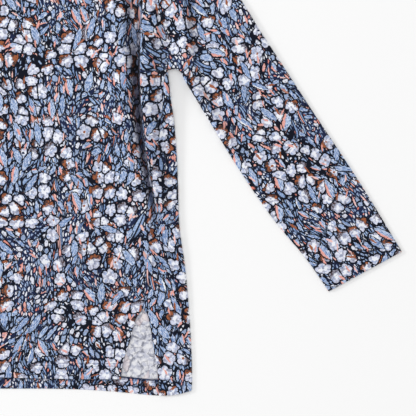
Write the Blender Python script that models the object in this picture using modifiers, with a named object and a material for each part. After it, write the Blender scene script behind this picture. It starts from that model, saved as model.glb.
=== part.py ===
"""Tunic top in printed knit, laid flat on its back with the sleeves turned down.

The wearer's neck points to +Y, the wearer's left is +X and the front faces up, +Z. The underside lies on
z = 0. Every panel is a thin wall of cloth: its middle surface is worked out from the sizes below, row by row,
and Solidify gives it its thickness. The back is wider than the front, so it rolls round both sides, and the
side seams and slits lie on the front face. Sizes are millimetres, measured on the garment lying flat, and
heights are above the hem's side corner.
"""

import math

import bmesh
import bpy
import numpy as np

MM = 0.001

# Cloth
CLOTH = 1.2  # wall of one layer
LAYER = 1.6  # middle of one layer to the middle of the next, where cloth lies on cloth
SEAM_GAP = 0.5  # between two pieces along a seam
ARMHOLE_GAP = 0.9  # where both walls also roll
ROLL_GAP = 1.2  # between the middles of two walls that meet on a roll
FOLD_RADIUS = 2.5  # soft roll where the cloth turns back on itself, to the middle of the wall
FOLD_LEVEL = CLOTH / 2 + FOLD_RADIUS  # height of the tip of that roll

# How high the upper layer lies (middle of the wall)
REST_LEVEL = 2.3  # across the flat middle of a panel
EDGE_LEVEL = CLOTH / 2 + 2 * FOLD_RADIUS  # over the folded edges and the turned-up hems
EDGE_SPREAD = 24.0  # how far in from a folded edge the extra height fades
HEM_SPREAD = 26.0  # how far above the hems it fades

# Body
UNDERARM_HEIGHT = 528.0
SHOULDER_POINT = (243.0, 722.0)
NECK_POINT = (104.0, 767.0)
FRONT_NECK_DEPTH = 99.0
BACK_NECK_DEPTH = 24.0
HEM_TURN = 28.0  # turned-up hem of front, back and sleeves
SLIT_TOP = 135.0
Y_CENTRE = 379.5  # height that becomes y = 0, the middle of the garment's length

# Half width of the body, folded edge to centre line
SIDE_EDGE = {
    "height": (-12, 20, 85, 140, 208, 268, 340, 430, 485, 528),
    "from_centre": (316, 317, 315, 311.5, 305, 296.5, 294, 289, 282, 277),
}
# Side seam, then the slit's two edges, which part below SLIT_TOP
SIDE_SEAM = {
    "height": (135, 180, 240, 320, 400, 480, 510, 528),
    "from_centre": (237, 241, 246, 254, 262, 270, 272, 277),
}
SLIT_FRONT_EDGE = {
    "height": (18, 39, 61, 79, 105, 127, 135),
    "from_centre": (200, 202.5, 208, 214.5, 221, 230, 236.8),
}
SLIT_BACK_EDGE = {
    "height": (-12, 22, 44, 66, 88, 110, 127, 135),
    "from_centre": (264, 261.5, 260, 255, 251.5, 247.5, 243, 237.2),
}
BACK_HEM_LOW = -7.0
BACK_HEM = {
    "from_centre": (0, 100, 137, 165, 215, 235, 265, 290, 305, 317),
    "height": (4, 3.6, 2.6, 0.8, -3.3, -5.4, -7.3, -6, -2.6, 1),
}
FRONT_HEM = {"from_centre": (0, 66, 153, 200), "height": (22.8, 21, 19.6, 19.6)}
# Armhole seam: in from the side, nearly level, and then up to the shoulder point
UNDERARM_SEAM = {"from_centre": (242, 250, 262, 277), "height": (528, 526, 526.4, 528)}
ARMHOLE = {
    "from_centre": (242, 238, 235.8, 235.5, 237, 240, 243),
    "height": (528, 534, 545, 565, 600, 660, 722),
}

# Sleeve, measured along its own axis from the cuff's middle
CUFF_MIDDLE = (602.5, 197.0)
SLEEVE_ANGLE = math.radians(56.2)  # the sleeve hangs this far below the horizontal
CUFF_TILT = math.radians(5.2)  # the cuff isn't quite square to the axis
CUFF_TILT_REACH = 60.0
SLEEVE = {
    "from_cuff": (0, 60, 150, 260, 350, 430),
    "lower": (68, 67.5, 75.5, 77, 74, 71.5),
    "upper": (68, 72, 76, 76.5, 77, 76.5),
}
# Outline between the straight sleeve and the armhole seam: under the arm, and over the shoulder
UNDERARM_EDGE = {
    "from_centre": (303.9, 300.5, 295, 286, 277),
    "height": (514.5, 522.5, 528, 530, 528),
}
SHOULDER_EDGE = {
    "from_centre": (426.9, 397, 375, 345, 300, 243),
    "height": (596.9, 645, 665, 683, 702.5, 722),
}

# Largest folds of the upper layer: a trough between two swells, with a column for each point of its line
TROUGHS = (
    {
        "side": 1,
        "from_centre": (232, 231, 234, 238, 243, 249, 261, 277),
        "height": (650, 600, 525, 447, 398, 340, 266, 203),
        "depth": (0.6, 0.9, 1, 1, 0.9, 0.7, 0.4, 0),
    },
    {
        "side": -1,
        "from_centre": (230, 230, 236, 241, 250, 268),
        "height": (660, 610, 530, 470, 400, 330),
        "depth": (0.4, 0.8, 1, 0.9, 0.6, 0),
    },
)
SWELL_HEIGHT = 4.5
SWELL_WIDTH = 34.0
TROUGH_DEPTH = 4.5
TROUGH_INNER_WIDTH = 13.0  # the slope on the side of the centre line is long
TROUGH_OUTER_WIDTH = 5.0  # and the other one is steep
TROUGH_FADE = 60.0

PRINT_COLOUR = (0.16, 0.21, 0.33, 1)
CLOTH_ROUGHNESS = 0.85

# Where rows and columns of the walls run. Near a folded edge they follow the roll.
ROLL_SHARE = 0.29
ROLL_STEPS = (0.0, ROLL_SHARE * FOLD_RADIUS, FOLD_RADIUS)
HEM_REACH = 60.0  # how far up the rows still follow the hem
ARMHOLE_STEPS = (6, 14, 28, 55, 95, 145)
BACK_HEM_ROWS = (HEM_TURN / 2, HEM_TURN)
BODY_ROWS = (52, 76, 100, 120, SLIT_TOP, 165, 205, 250, 300, 350, 400, 450, 492, 514)
PANEL_COLUMNS = (0.06, 0.1264, 0.22, 0.33, 0.43, 0.53, 0.64, 0.76, 0.88, 1.0)  # shares, edge to centre
ARMHOLE_COLUMN = 4  # column, rolls included, that runs up the armhole
NECK_COLUMN = 6  # and the one that meets the neck point
WRAP_COLUMNS = (0.0, 0.35, 0.7, 1.0)
SLEEVE_ROWS = (HEM_TURN, 45, 85, 130, 190, 260, 330, 390, 430)
HEAD_ROWS = (0.28, 0.55, 0.8, 1.0)
SECTION_SHARES = (0.0, 0.005, 0.0165, 0.07, 0.14, 0.22, 0.32, 0.44, 0.58, 0.74, 0.88, 0.9835, 0.995, 1.0)
TURN_ANGLES = tuple(math.radians(a) for a in (0, 60, 120, 180))


def smooth(table, wanted, key, value):
    """Value at each wanted key, on a smooth curve through the table's points."""
    keys, values = np.array(table[key], float), np.array(table[value], float)
    order = np.argsort(keys)
    keys, values = keys[order], values[order]
    slopes = np.gradient(values, keys)
    wanted = np.clip(np.asarray(wanted, float), keys[0], keys[-1])
    i = np.clip(np.searchsorted(keys, wanted) - 1, 0, len(keys) - 2)
    span = keys[i + 1] - keys[i]
    t = (wanted - keys[i]) / span
    return (
        (1 + 2 * t) * (1 - t) ** 2 * values[i]
        + t * (1 - t) ** 2 * span * slopes[i]
        + t**2 * (3 - 2 * t) * values[i + 1]
        + t**2 * (t - 1) * span * slopes[i + 1]
    )


def seam_gap(height):
    """Gap along the side seam: wider under the arm, where it turns over the roll."""
    return ROLL_GAP if height > BODY_ROWS[-2] else SEAM_GAP


def edge_at(table, height):
    return smooth(table, height, "height", "from_centre")


def hem_at(table, from_centre):
    return smooth(table, np.abs(from_centre), "from_centre", "height")


def points_of(table):
    return np.column_stack([table["from_centre"], table["height"]]).astype(float)


def along(points, distances):
    """Points on a polyline at these distances from its start."""
    steps = np.concatenate([[0], np.cumsum(np.linalg.norm(np.diff(points, axis=0), axis=1))])
    return np.column_stack([np.interp(distances, steps, points[:, k]) for k in (0, 1)])


def length_of(points):
    return float(np.linalg.norm(np.diff(points, axis=0), axis=1).sum())


def rounded(points, per_span=6):
    """The polyline's points with a Catmull-Rom curve between them."""
    padded = np.vstack([2 * points[0] - points[1], points, 2 * points[-1] - points[-2]])
    curve = []
    for a, b, c, d in zip(padded, padded[1:], padded[2:], padded[3:]):
        for t in np.arange(per_span) / per_span:
            square, cube = 2 * a - 5 * b + 4 * c - d, 3 * b - a - 3 * c + d
            curve.append((2 * b + (c - a) * t + square * t**2 + cube * t**3) / 2)
    return np.array([*curve, points[-1]])


def distance_to(polyline, x, y):
    """Distance of each plan point to a polyline."""
    here = np.stack([np.asarray(x, float), np.asarray(y, float)], -1)[..., None, :]
    start, run = polyline[:-1], np.diff(polyline, axis=0)
    t = np.clip(((here - start) * run).sum(-1) / (run * run).sum(-1), 0, 1)
    return np.linalg.norm(here - (start + t[..., None] * run), axis=-1).min(-1)


def sleeve_point(from_cuff, across):
    """Plan point of the sleeve. across is from its axis, positive towards the upper edge."""
    up = np.array([-math.cos(SLEEVE_ANGLE), math.sin(SLEEVE_ANGLE)])
    out = np.array([math.sin(SLEEVE_ANGLE), math.cos(SLEEVE_ANGLE)])
    tilt = math.tan(CUFF_TILT) * max(0.0, 1 - from_cuff / CUFF_TILT_REACH)
    return np.array(CUFF_MIDDLE) + (from_cuff - across * tilt) * up + across * out


def sleeve_edges(from_cuff):
    lower, upper = (float(smooth(SLEEVE, from_cuff, "from_cuff", side)) for side in ("lower", "upper"))
    return sleeve_point(from_cuff, -lower), sleeve_point(from_cuff, upper)


def column_shares(reach):
    """Shares of the way from the folded edge to the centre line, with narrow ones over the roll."""
    return np.array([*(s / reach for s in ROLL_STEPS), *PANEL_COLUMNS])


UNDERARM_REACH = UNDERARM_SEAM["from_centre"][-1]
UNDERARM_X = UNDERARM_REACH * (1 - column_shares(UNDERARM_REACH)[: ARMHOLE_COLUMN + 1])
UNDERARM_RUN = np.column_stack([UNDERARM_X, smooth(UNDERARM_SEAM, UNDERARM_X, "from_centre", "height")])
ARMHOLE_CURVE = rounded(points_of(ARMHOLE))
ARMHOLE_LENGTH = length_of(ARMHOLE_CURVE)
ARMHOLE_AT = np.array([*ARMHOLE_STEPS, *(ARMHOLE_LENGTH - s for s in reversed(ROLL_STEPS))])
ARMHOLE_SIDE = along(ARMHOLE_CURVE, ARMHOLE_AT)
ARMHOLE_POINTS = np.vstack([UNDERARM_RUN, ARMHOLE_SIDE])
HEAD_SHARES = np.array([0.0, *HEAD_ROWS])


def shares_along(table):
    curve = rounded(points_of(table))
    return along(curve, HEAD_SHARES * length_of(curve))


UNDERARM_POINTS = shares_along(UNDERARM_EDGE)
SHOULDER_POINTS = shares_along(SHOULDER_EDGE)
SIDE_HEIGHTS = np.array([-12.0, 0.0, 25.0, *BODY_ROWS, UNDERARM_HEIGHT])
SIDE_POINTS = np.column_stack([edge_at(SIDE_EDGE, SIDE_HEIGHTS), SIDE_HEIGHTS])
SLEEVE_PAIRS = [sleeve_edges(s) for s in (0.0, *SLEEVE_ROWS)]
FOLDED_EDGES = (
    SIDE_POINTS,
    np.array([low for low, _ in SLEEVE_PAIRS]),
    np.array([high for _, high in SLEEVE_PAIRS]),
    UNDERARM_POINTS,
    SHOULDER_POINTS,
    np.array([SHOULDER_POINT, NECK_POINT]),
)


def inside_edge(x, y):
    """How far a plan point lies in from the nearest folded edge."""
    return np.min([distance_to(edge, np.abs(x), y) for edge in FOLDED_EDGES], axis=0)


def trough_shape(trough, x, y):
    """Height that one trough and the swells beside it add to the upper layer."""
    centre = smooth(trough, y, "height", "from_centre")
    depth = np.clip(smooth(trough, y, "height", "depth"), 0, 1)
    to_end = np.minimum(y - min(trough["height"]), max(trough["height"]) - y)
    fade = np.clip(0.5 + to_end / TROUGH_FADE, 0, 1)
    off = x * trough["side"] - centre
    width = np.where(off < 0, TROUGH_INNER_WIDTH, TROUGH_OUTER_WIDTH)
    swell = SWELL_HEIGHT * np.exp(-((off / SWELL_WIDTH) ** 2))
    return depth * fade * (swell - TROUGH_DEPTH * np.exp(-((off / width) ** 2)))


def upper_level(x, y):
    """Height of the middle of the upper layer of cloth, away from the rolls."""
    x, y = np.asarray(x, float), np.asarray(y, float)
    near_edge = np.exp(-np.maximum(inside_edge(x, y) - FOLD_RADIUS, 0) / EDGE_SPREAD)
    inward, rise = CUFF_MIDDLE[0] - np.abs(x), y - CUFF_MIDDLE[1]
    from_cuff = inward * math.cos(SLEEVE_ANGLE) + rise * math.sin(SLEEVE_ANGLE)
    from_hem = np.where(np.abs(x) > max(SIDE_EDGE["from_centre"]) + 1, from_cuff, y)
    near_hem = np.exp(-np.maximum(from_hem - 2 * HEM_TURN, 0) / HEM_SPREAD)
    level = REST_LEVEL + (EDGE_LEVEL - REST_LEVEL) * np.maximum(near_edge, near_hem)
    return level + sum(trough_shape(t, x, y) for t in TROUGHS)


def lift(x, y, upper, inset=0.0):
    """Height of the middle of a wall. inset is how far inside the outer layer it lies."""
    radius = FOLD_RADIUS - inset
    share = np.clip((inside_edge(x, y) - inset) / radius, 0, 1)
    roll = np.sqrt(np.maximum(0, 1 - (1 - share) ** 2))
    lie = upper_level(x, y) - inset if upper else CLOTH / 2 + inset
    start = FOLD_LEVEL + (ROLL_GAP / 2 if upper else -ROLL_GAP / 2)
    return start + (lie - start) * roll


def as_point(x, y, z):
    return (float(x) * MM, (float(y) - Y_CENTRE) * MM, float(z) * MM)


def hem_rows():
    """(distance above the hem, inset) of the rows that turn the hem up inside, raw edge first."""
    rows = [(HEM_TURN, LAYER), (HEM_TURN / 2, LAYER)]
    rows += [(-LAYER / 2 * math.sin(a), LAYER / 2 * (1 + math.cos(a))) for a in TURN_ANGLES]
    return rows


def coons(bottom, top, right, u, v):
    """Plan points of the right half of a patch. u runs from 0 at the right edge to 1 at the centre line."""
    left = np.column_stack([np.zeros(len(v)), bottom[-1, 1] + v * (top[-1, 1] - bottom[-1, 1])])
    u, v = u[None, :, None], v[:, None, None]
    across = (1 - u) * right[:, None, :] + u * left[:, None, :]
    up = (1 - v) * bottom[None] + v * top[None]
    corners = (1 - u) * ((1 - v) * bottom[0] + v * top[0]) + u * ((1 - v) * bottom[-1] + v * top[-1])
    return across + up - corners


def neck_curve(depth):
    """Half of the neck edge, a point for each column from the neck point to the centre line."""
    shares = column_shares(UNDERARM_REACH)[NECK_COLUMN:]
    turns = (1 - shares) / (1 - shares[0]) * math.pi / 2
    return np.column_stack([NECK_POINT[0] * np.sin(turns), NECK_POINT[1] - depth * np.cos(turns)])


def underarm_row():
    """Plan points of the row that ends the lower body: along the armhole seams and across the chest."""
    columns = column_shares(UNDERARM_REACH)
    row = np.column_stack([UNDERARM_REACH * (1 - columns), np.full(len(columns), UNDERARM_HEIGHT)])
    row[: ARMHOLE_COLUMN + 1] = UNDERARM_RUN
    return row


def upper_patch(neck_depth):
    """Plan points of the right half of a panel above the underarm, a row for each step up the armhole."""
    bottom = underarm_row()[ARMHOLE_COLUMN:]
    columns = column_shares(UNDERARM_REACH)[ARMHOLE_COLUMN:]
    columns = (columns - columns[0]) / (1 - columns[0])
    shoulder, neck = np.array(SHOULDER_POINT), np.array(NECK_POINT)
    along_shoulder = np.linspace(0, 1, NECK_COLUMN - ARMHOLE_COLUMN + 1)[:-1, None]
    top = np.vstack([shoulder + along_shoulder * (neck - shoulder), neck_curve(neck_depth)])
    return [bottom, *coons(bottom, top, ARMHOLE_SIDE, columns, ARMHOLE_AT / ARMHOLE_LENGTH)]


def front_sheets():
    """Rows of the front below and above the underarm."""
    rows = []
    for rise, inset in hem_rows():
        edge = float(edge_at(SLIT_FRONT_EDGE, FRONT_HEM["height"][-1] + max(rise, 0)))
        xs = edge * (1 - column_shares(edge))
        rows.append((xs, hem_at(FRONT_HEM, xs) + rise, inset))
    for height in BODY_ROWS:
        table = SLIT_FRONT_EDGE if height < SLIT_TOP else SIDE_SEAM
        edge = float(edge_at(table, height)) - seam_gap(height) / 2
        xs = edge * (1 - column_shares(edge))
        settle = math.exp(-(((height - BODY_ROWS[0]) / HEM_REACH) ** 2))
        rows.append((xs, height + (hem_at(FRONT_HEM, xs) - FRONT_HEM["height"][-1]) * settle, 0.0))
    rows.append((*underarm_row().T, 0.0))
    above = [sided(*plan.T, 0.0) for plan in upper_patch(FRONT_NECK_DEPTH)]
    return [[sided(*row) for row in rows], above]


def sided(xs, ys, inset, upper=True):
    """Both halves of a row that lies all in one layer."""
    right = lift(xs, ys, upper, inset)
    left = lift(-xs, ys, upper, inset)
    return [
        *(as_point(x, y, z) for x, y, z in zip(xs, ys, right)),
        *(as_point(-x, y, z) for x, y, z in list(zip(xs, ys, left))[-2::-1]),
    ]


def back_half(height, edge, inset):
    """Plan x of half a row of the back: from its edge on the front face, round the fold, to the centre."""
    tip = float(edge_at(SIDE_EDGE, height)) - inset
    turn = tip - (FOLD_RADIUS - inset) * ROLL_SHARE
    flat = tip - (FOLD_RADIUS - inset)
    over = [*(edge + (flat - edge) * share for share in WRAP_COLUMNS), turn]
    reach = tip * (1 - column_shares(tip))
    reach[1:3] = (turn, flat)
    return np.array([*over, *reach])


def back_row(xs, ys, inset, wrapped):
    """Both halves of a row of the back. Its first columns lie in the upper layer."""
    over = np.arange(len(xs)) < wrapped
    halves = []
    for side in (1, -1):
        zs = np.where(over, lift(xs * side, ys, True, inset), lift(xs * side, ys, False, inset))
        halves.append([as_point(x * side, y, z) for x, y, z in zip(xs, ys, zs)])
    return [*halves[0], *halves[1][-2::-1]]


def back_sheets():
    """Rows of the back below and above the underarm."""
    wrapped = len(WRAP_COLUMNS) + 1
    rows = []
    for rise, inset in hem_rows():
        height = max(rise, BACK_HEM_LOW)
        xs = back_half(height, float(edge_at(SLIT_BACK_EDGE, height)), inset)
        rows.append(back_row(xs, hem_at(BACK_HEM, xs) + rise, inset, wrapped))
    for height in (*BACK_HEM_ROWS, *BODY_ROWS):
        table = SLIT_BACK_EDGE if height < SLIT_TOP else SIDE_SEAM
        xs = back_half(height, float(edge_at(table, height)) + seam_gap(height) / 2, 0.0)
        settle = math.exp(-((height / HEM_REACH) ** 2))
        rows.append(back_row(xs, height + hem_at(BACK_HEM, xs) * settle, 0.0, wrapped))
    underarm = underarm_row()
    underarm = np.vstack([np.tile(underarm[0], (wrapped, 1)), underarm])
    rows.append(back_row(*underarm.T, 0.0, 0))
    above = [sided(*plan.T, 0.0, upper=False) for plan in upper_patch(BACK_NECK_DEPTH)]
    return [rows, above]


def seam_offset(points):
    """Step off the armhole seam, towards the sleeve, that leaves the seam gap."""
    run = np.gradient(points, axis=0)
    run /= np.linalg.norm(run, axis=1)[:, None]
    return ARMHOLE_GAP * np.column_stack([run[:, 1], -run[:, 0]])


def sleeve_plans():
    """(plan points, inset) of the rows across a sleeve, from the turned-up edge in the cuff upwards."""
    section = np.array(SECTION_SHARES)
    plans = []
    for from_cuff, inset in [*hem_rows(), *((s, 0.0) for s in (HEM_TURN / 2, *SLEEVE_ROWS))]:
        low, high = sleeve_edges(from_cuff)
        width = np.linalg.norm(high - low)
        shares = inset / width + section * (1 - 2 * inset / width)
        plans.append((low + shares[:, None] * (high - low), inset))
    steps = np.linalg.norm(np.diff(ARMHOLE_POINTS, axis=0), axis=1)
    loop = np.concatenate([[0], np.cumsum(steps)]) / steps.sum()
    seam = ARMHOLE_POINTS + seam_offset(ARMHOLE_POINTS)
    low, high = UNDERARM_POINTS, SHOULDER_POINTS
    for k, v in enumerate(HEAD_ROWS, start=1):
        shares = (section * (1 - v) + loop * v)[:, None]
        across = low[k] + shares * (high[k] - low[k])
        end = low[-1] + shares * (high[-1] - low[-1])
        plans.append((across + v * (seam - end), 0.0))
    return plans


def sleeve_rows(side):
    """Closed rings of a sleeve: over its upper layer, and back along its lower one."""
    rings = []
    for plan, inset in sleeve_plans():
        xs, ys = plan[:, 0] * side, plan[:, 1]
        over, under = lift(xs, ys, True, inset), lift(xs, ys, False, inset)
        over[[0, -1]] = FOLD_LEVEL
        ring = [as_point(x, y, z) for x, y, z in zip(xs, ys, over)]
        ring += [as_point(x, y, z) for x, y, z in zip(xs[-2:0:-1], ys[-2:0:-1], under[-2:0:-1])]
        rings.append(ring)
    return rings


def printed_cloth(name):
    made = bpy.data.materials.new(name)
    made.use_nodes = True
    shader = made.node_tree.nodes["Principled BSDF"]
    shader.inputs["Base Color"].default_value = PRINT_COLOUR
    shader.inputs["Roughness"].default_value = CLOTH_ROUGHNESS
    shader.inputs["Metallic"].default_value = 0.0
    return made


def cloth_wall(name, sheets, closed, collection):
    """A wall of cloth over sheets of points, which share the points where they meet."""
    shell = bmesh.new()
    for rows in sheets:
        grid = [[shell.verts.new(point) for point in row] for row in rows]
        columns = len(rows[0])
        for lower, upper in zip(grid, grid[1:]):
            for c in range(columns if closed else columns - 1):
                d = (c + 1) % columns
                shell.faces.new((lower[c], lower[d], upper[d], upper[c]))
    bmesh.ops.remove_doubles(shell, verts=shell.verts, dist=0.01 * MM)
    mesh = bpy.data.meshes.new(name)
    shell.to_mesh(mesh)
    shell.free()
    mesh.shade_smooth()
    panel = bpy.data.objects.new(name, mesh)
    collection.objects.link(panel)
    mesh.materials.append(printed_cloth(name + "_cloth"))
    thickness = panel.modifiers.new("Cloth", "SOLIDIFY")
    thickness.thickness = CLOTH * MM
    thickness.offset = 0


def main():
    for old in list(bpy.data.objects):
        bpy.data.objects.remove(old)
    tunic = bpy.data.collections.new("Tunic top")
    bpy.context.scene.collection.children.link(tunic)
    cloth_wall("front", front_sheets(), False, tunic)
    cloth_wall("back", back_sheets(), False, tunic)
    cloth_wall("sleeve_left", [sleeve_rows(1)], True, tunic)
    cloth_wall("sleeve_right", [sleeve_rows(-1)], True, tunic)


main()
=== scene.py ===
"""Looks of a knit tunic top laid flat: thin shells of cloth with their print, folds and hems.

The wearer's neck points to +Y, the wearer's left is +X and the front faces up. Sizes are millimetres,
measured on the garment lying flat, with heights above the hem's side corner, and become metres only in
the meshes.
"""

import math

import bmesh
import bpy
import numpy as np
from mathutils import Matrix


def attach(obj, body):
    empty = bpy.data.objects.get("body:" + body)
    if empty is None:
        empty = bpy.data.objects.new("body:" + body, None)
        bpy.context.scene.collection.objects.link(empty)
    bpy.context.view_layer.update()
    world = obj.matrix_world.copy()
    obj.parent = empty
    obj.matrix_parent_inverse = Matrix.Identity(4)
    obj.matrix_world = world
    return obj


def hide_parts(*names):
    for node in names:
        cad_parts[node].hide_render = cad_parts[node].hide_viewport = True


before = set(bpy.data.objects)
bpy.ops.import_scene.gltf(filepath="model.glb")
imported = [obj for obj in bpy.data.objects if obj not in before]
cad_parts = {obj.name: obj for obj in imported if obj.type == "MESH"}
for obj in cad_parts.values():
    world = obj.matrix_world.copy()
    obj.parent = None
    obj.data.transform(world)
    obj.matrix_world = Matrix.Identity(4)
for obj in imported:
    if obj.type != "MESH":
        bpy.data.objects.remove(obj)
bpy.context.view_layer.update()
bpy.ops.object.select_all(action="DESELECT")

MM = 0.001

# ---------------------------------------------------------------- Sizes of the cloth

CLOTH = 0.7  # wall of one layer
LAYER = 1.0  # middle of one layer to the middle of the next
SEAM_GAP = 0.25  # between two pieces along a seam
ROLL_GAP = 0.85  # between the middles of two walls that meet on a roll
FOLD_RADIUS = 1.25  # under side of the roll where the cloth turns back on itself
TOP_ROLL = 6.5  # and how far in its upper side takes to level out
FOLD_LEVEL = CLOTH / 2 + FOLD_RADIUS
REST_LEVEL = 2.4  # middle of the upper layer, across the flat of a panel
LEAST_LEVEL = 1.5  # and where a crease presses it down
EDGE_LEVEL = 5.4  # and beside a folded edge
HEM_LEVEL = 3.3  # and at the hems, from where a folded edge grows to its full height
EDGE_GROWS_FROM = (100.0, 200.0)  # this far above the bottom hem, and above a cuff
EDGE_GROWS_OVER = (130.0, 230.0)  # and over these lengths
EDGE_SPREAD = 24.0  # how far in from a folded edge the extra height fades
HEM_SPREAD = 26.0  # and up from a turned hem

# Places on the plan are distances from the centre line and heights
UNDERARM_HEIGHT = 528.0
SHOULDER_POINT = (243.0, 722.0)
NECK_POINT = (104.0, 767.0)
FRONT_NECK_DEPTH = 99.0
BACK_NECK_DEPTH = 24.0
NECK_TURN = 9.0  # neck edge turned under
HEM_TURN = 25.5
SLIT_TOP = 135.0
Y_CENTRE = 379.5  # height that is y = 0

SIDE_EDGE = {
    "height": (-12, 20, 85, 140, 208, 268, 340, 430, 485, 528),
    "from_centre": (316, 317, 315, 311.5, 305, 296.5, 294, 289, 282, 277),
}
SIDE_SEAM = {
    "height": (135, 180, 240, 320, 400, 480, 510, 528),
    "from_centre": (237, 241, 246, 254, 262, 270, 272, 277),
}
SLIT_FRONT_EDGE = {
    "height": (18, 39, 61, 79, 105, 127, 135),
    "from_centre": (200, 202.5, 208, 214.5, 221, 230, 236.8),
}
SLIT_BACK_EDGE = {
    "height": (-12, 22, 44, 66, 88, 110, 127, 135),
    "from_centre": (264, 261.5, 260, 255, 251.5, 247.5, 243, 237.2),
}
BACK_HEM_LOW = -7.0
BACK_HEM = {
    "from_centre": (0, 100, 137, 165, 215, 235, 265, 290, 305, 317),
    "height": (4, 3.6, 2.6, 0.8, -3.3, -5.4, -7.3, -6, -2.6, 1),
}
FRONT_HEM = {"from_centre": (0, 66, 153, 200), "height": (22.8, 21, 19.6, 19.6)}
UNDERARM_SEAM = {"from_centre": (242, 250, 262, 277), "height": (528, 526, 526.4, 528)}
ARMHOLE = {
    "from_centre": (242, 238, 235.8, 235.5, 237, 240, 243),
    "height": (528, 534, 545, 565, 600, 660, 722),
}
CUFF_MIDDLE = (602.5, 197.0)
SLEEVE_ANGLE = math.radians(56.2)
CUFF_TILT = math.radians(5.2)  # of the cuff's edge, against square to the sleeve
CUFF_TILT_REACH = 60.0
SLEEVE = {
    "from_cuff": (0, 60, 150, 260, 350, 430),
    "lower": (68, 68.3, 77.2, 78.7, 75.2, 71.5),
    "upper": (68, 71.2, 74.2, 74.5, 75.6, 76.5),
}
SLEEVE_STRAIGHT = 430.0  # straight part, from the cuff up
UNDERARM_EDGE = {
    "from_centre": (303.9, 300.5, 295, 286, 277),
    "height": (514.5, 522.5, 528, 530, 528),
}
SHOULDER_EDGE = {
    "from_centre": (426.9, 397, 375, 345, 300, 243),
    "height": (596.9, 645, 665, 683, 702.5, 722),
}

# ---------------------------------------------------------------- Folds


def named_rows(columns, *rows):
    """A table's rows, with a name for each column."""
    return [dict(zip(columns, row)) for row in rows]


# Creases of the upper layer, from top to bottom. side is 1 on the wearer's left and -1 on the right, rise is
# the height at each point, below 0 for a trough, and inner and outer are the widths towards the centre line
# and away from it. On a sleeve, outer is towards its upper edge.
FOLD_COLUMNS = ("side", "from_centre", "height", "rise", "inner", "outer")
FOLDS = named_rows(
    FOLD_COLUMNS,
    # deep fold down from the armhole: its trough, the swell that falls into it and the lip on its far side
    (1, (230, 228, 227, 230, 239, 250, 263, 277), (690, 610, 525, 447, 390, 330, 266, 203),
     (-2, -5, -8, -8, -7, -5, -2.5, 0), 6, 4),
    (1, (198, 199, 199, 203, 212, 224, 242), (700, 610, 525, 447, 390, 330, 250),
     (1, 5.5, 8.5, 8.5, 7, 5, 0), 34, 24),
    (1, (241, 240, 242, 248, 258, 271, 287), (610, 525, 447, 390, 330, 266, 200),
     (1.5, 4.5, 6, 6, 5, 3, 0), 4.5, 15),
    (1, (219, 215, 214, 220), (720, 650, 580, 500), (0, -4, -3.5, 0), 9, 8),
    # narrow ripples below it, out to the side
    (1, (262, 270, 280, 288), (350, 290, 230, 170), (0, -3, -3, 0), 6, 4),
    (1, (277, 283, 291), (330, 265, 205), (0, -3, 0), 6, 5),
    (1, (247, 256, 264), (300, 235, 165), (0, -2, 0), 8, 5),
    # drag lines over the armhole, from the underarm to the shoulder
    (1, (262, 266, 276, 290), (700, 640, 580, 535), (0, -2.5, -3, 0), 9, 6),
    (1, (300, 300, 304, 312), (690, 640, 590, 540), (0, 3, 3, 0), 14, 11),
    (1, (322, 320, 324, 336), (672, 620, 570, 505), (0, -2.5, -2.5, 0), 9, 9),
    # under the arm, along the sleeve's lower edge
    (1, (318, 352, 386, 420), (535, 478, 424, 376), (0, -2.5, -2.5, 0), 8, 10),
    (1, (372, 398, 425), (520, 478, 440), (0, 1.8, 0), 16, 12),
    # elbow and cuff
    (1, (446, 478, 512), (424, 392, 352), (0, 1.8, 0), 12, 16),
    (1, (436, 452, 466), (300, 282, 256), (0, -2, 0), 6, 8),
    (1, (540, 556, 566), (330, 290, 240), (0, 1.6, 0), 10, 14),
    (1, (515, 540, 566), (226, 206, 190), (0, -0.5, 0), 7, 9),
    # soft swells of the front
    (1, (96, 120, 128, 118), (560, 470, 380, 300), (0, 2.4, 2, 0), 26, 22),
    (1, (150, 138, 146), (300, 210, 130), (0, 2.2, 0), 24, 22),
    (1, (30, 46, 40), (260, 170, 90), (0, 1.8, 0), 26, 26),
    # the right side, never quite a mirror of the left
    (-1, (229, 230, 236, 241, 250, 268), (680, 610, 530, 470, 400, 320), (-2, -4.5, -5.5, -5, -3.5, 0),
     11, 4.5),
    (-1, (200, 201, 207, 213, 226), (680, 600, 520, 440, 350), (1, 5, 6, 4.5, 0), 28, 19),
    (-1, (240, 245, 251, 262, 278), (590, 520, 460, 390, 310), (1, 4, 4, 3.5, 0), 4.5, 13),
    (-1, (270, 276, 289), (300, 240, 170), (0, -2.6, 0), 6, 5),
    (-1, (258, 268, 280), (265, 190, 120), (0, -2.2, 0), 7, 5),
    (-1, (268, 270, 280, 294), (690, 630, 575, 536), (0, -2.6, -2.4, 0), 9, 7),
    (-1, (306, 308, 316), (690, 620, 545), (0, 3.2, 0), 14, 12),
    (-1, (330, 360, 400), (520, 466, 400), (0, -2.4, 0), 9, 10),
    (-1, (430, 470, 500), (452, 404, 352), (0, 2, 0), 13, 16),
    (-1, (448, 468, 490), (292, 268, 232), (0, -1.8, 0), 7, 8),
    (-1, (556, 562, 580), (330, 280, 232), (0, 1.6, 0), 10, 12),
    (-1, (80, 104, 120, 112), (590, 500, 410, 320), (0, 2.2, 2.2, 0), 24, 24),
    (-1, (160, 150, 158), (310, 220, 120), (0, 2.4, 0), 24, 20),
    (-1, (50, 36, 44), (250, 160, 84), (0, 1.6, 0), 26, 24),
)
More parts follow.
